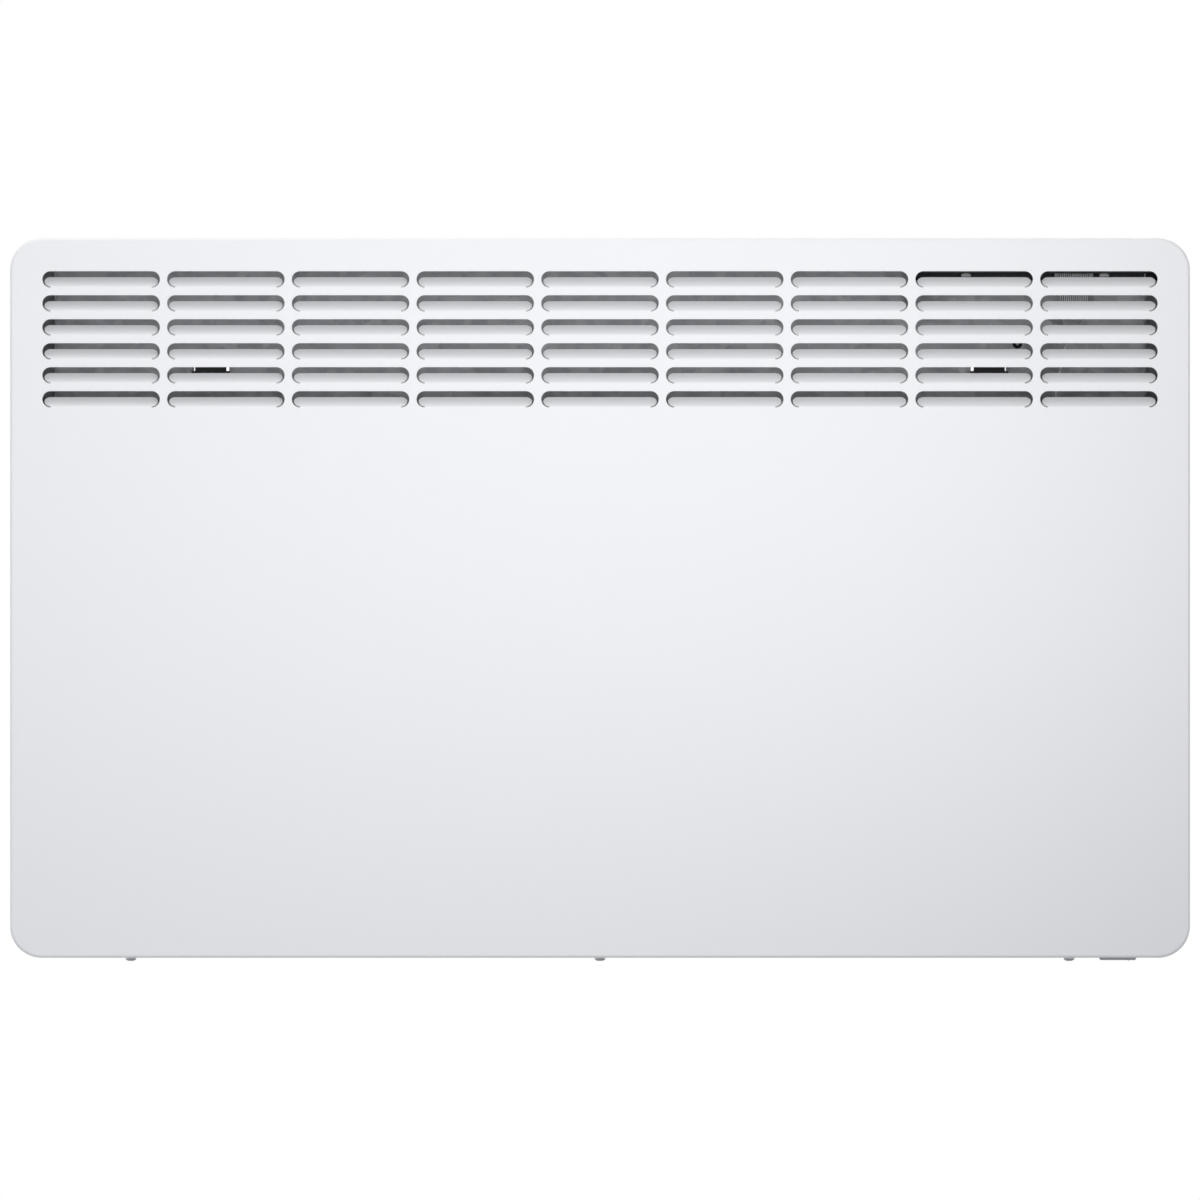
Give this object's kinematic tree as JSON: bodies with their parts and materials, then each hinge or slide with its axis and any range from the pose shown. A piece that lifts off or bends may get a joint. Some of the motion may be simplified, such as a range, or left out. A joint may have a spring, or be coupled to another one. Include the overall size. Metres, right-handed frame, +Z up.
{
  "type": "wall panel convector heater",
  "caption": "White wall-mounted electric panel convector heater with a louvred front, on its hook-on wall bracket.",
  "frame": {"origin": "centre of the wall bracket's screw-hole pattern, on the wall plane; also the middle of the casing's width and height", "axes": "+X to the right seen from the room, +Y into the wall, +Z up"},
  "size_m": [0.738, 0.1, 0.4526],
  "materials": {
    "white_sheet": "satin",
    "galvanised": "satin",
    "bright_steel": "satin",
    "aluminium": "satin",
    "black_plastic": "matte",
    "gloss_black": "gloss",
    "grey_plastic": "satin",
    "dark_plastic": "satin",
    "white_plastic": "satin",
    "lens": "gloss",
    "board": "satin",
    "ribbon": "satin",
    "silicone": "matte",
    "ceramic": "matte",
    "blue_plastic": "satin",
    "lead": "matte",
    "terminal_metal": "satin"
  },
  "bodies": {
    "root": {"front_cover": "white_sheet", "rear_panel": "galvanised", "bracket_leg_left": "galvanised", "bracket_leg_right": "galvanised", "bracket_crossbar_upper": "galvanised", "bracket_crossbar_lower": "galvanised", "latch_spring_left": "bright_steel", "latch_spring_right": "bright_steel", "heating_element": "aluminium", "heater_rod": "bright_steel", "heater_terminals": "terminal_metal", "heater_bracket_left": "galvanised", "heater_bracket_right": "galvanised", "heater_bush_left": "silicone", "heater_bush_right": "silicone", "heat_shield": "galvanised", "partition": "galvanised", "thermal_cutout": "ceramic", "power_board": "board", "board_standoffs": "white_plastic", "power_relay": "black_plastic", "transformer": "blue_plastic", "triac_heatsink": "aluminium", "suppressor": "grey_plastic", "terminal_block": "white_plastic", "control_housing": "black_plastic", "control_bezel": "gloss_black", "display_lens": "lens", "display_module": "grey_plastic", "control_board": "board", "board_spacers": "white_plastic", "tact_switches": "black_plastic", "ribbon_socket": "grey_plastic", "ribbon_cable": "ribbon", "ribbon_plug": "grey_plastic", "switch_housing": "grey_plastic", "switch_terminals": "terminal_metal", "cover_screws": "bright_steel", "cable_gland": "black_plastic", "blanking_plug": "black_plastic", "sensor_clip": "white_plastic", "room_sensor": "black_plastic", "earth_stud": "bright_steel", "earth_nut": "terminal_metal", "heater_leads": "lead"},
    "left_latch": {"latch_left": "black_plastic"},
    "right_latch": {"latch_right": "black_plastic"},
    "minus_button": {"button_minus": "dark_plastic"},
    "plus_button": {"button_plus": "dark_plastic"},
    "mode_button": {"button_mode": "dark_plastic"},
    "standby_button": {"button_standby": "dark_plastic"},
    "mains_rocker": {"switch_rocker": "grey_plastic"}
  },
  "joints": [
    {"name": "left_latch_slide", "type": "slide", "parent": "root", "child": "left_latch", "axis": [0, 0, -1], "range_m": [0, 0.005], "stiffness_N_per_m": 300, "springref_m": -0.002, "deforming": ["latch_spring_left"]},
    {"name": "right_latch_slide", "type": "slide", "parent": "root", "child": "right_latch", "axis": [0, 0, -1], "range_m": [0, 0.005], "stiffness_N_per_m": 300, "springref_m": -0.002, "deforming": ["latch_spring_right"]},
    {"name": "minus_press", "type": "slide", "parent": "root", "child": "minus_button", "axis": [0, 0, -1], "range_m": [0, 0.0008], "stiffness_N_per_m": 1500, "springref_m": -0.0005},
    {"name": "plus_press", "type": "slide", "parent": "root", "child": "plus_button", "axis": [0, 0, -1], "range_m": [0, 0.0008], "stiffness_N_per_m": 1500, "springref_m": -0.0005},
    {"name": "mode_press", "type": "slide", "parent": "root", "child": "mode_button", "axis": [0, 0, -1], "range_m": [0, 0.0008], "stiffness_N_per_m": 1500, "springref_m": -0.0005},
    {"name": "standby_press", "type": "slide", "parent": "root", "child": "standby_button", "axis": [0, 0, -1], "range_m": [0, 0.0008], "stiffness_N_per_m": 1500, "springref_m": -0.0005},
    {"name": "mains_rocker_tilt", "type": "hinge", "parent": "root", "child": "mains_rocker", "pos_m": [0.3245, -0.034, -0.2222], "axis": [0, -1, 0], "range_deg": [0, 16]}
  ]
}
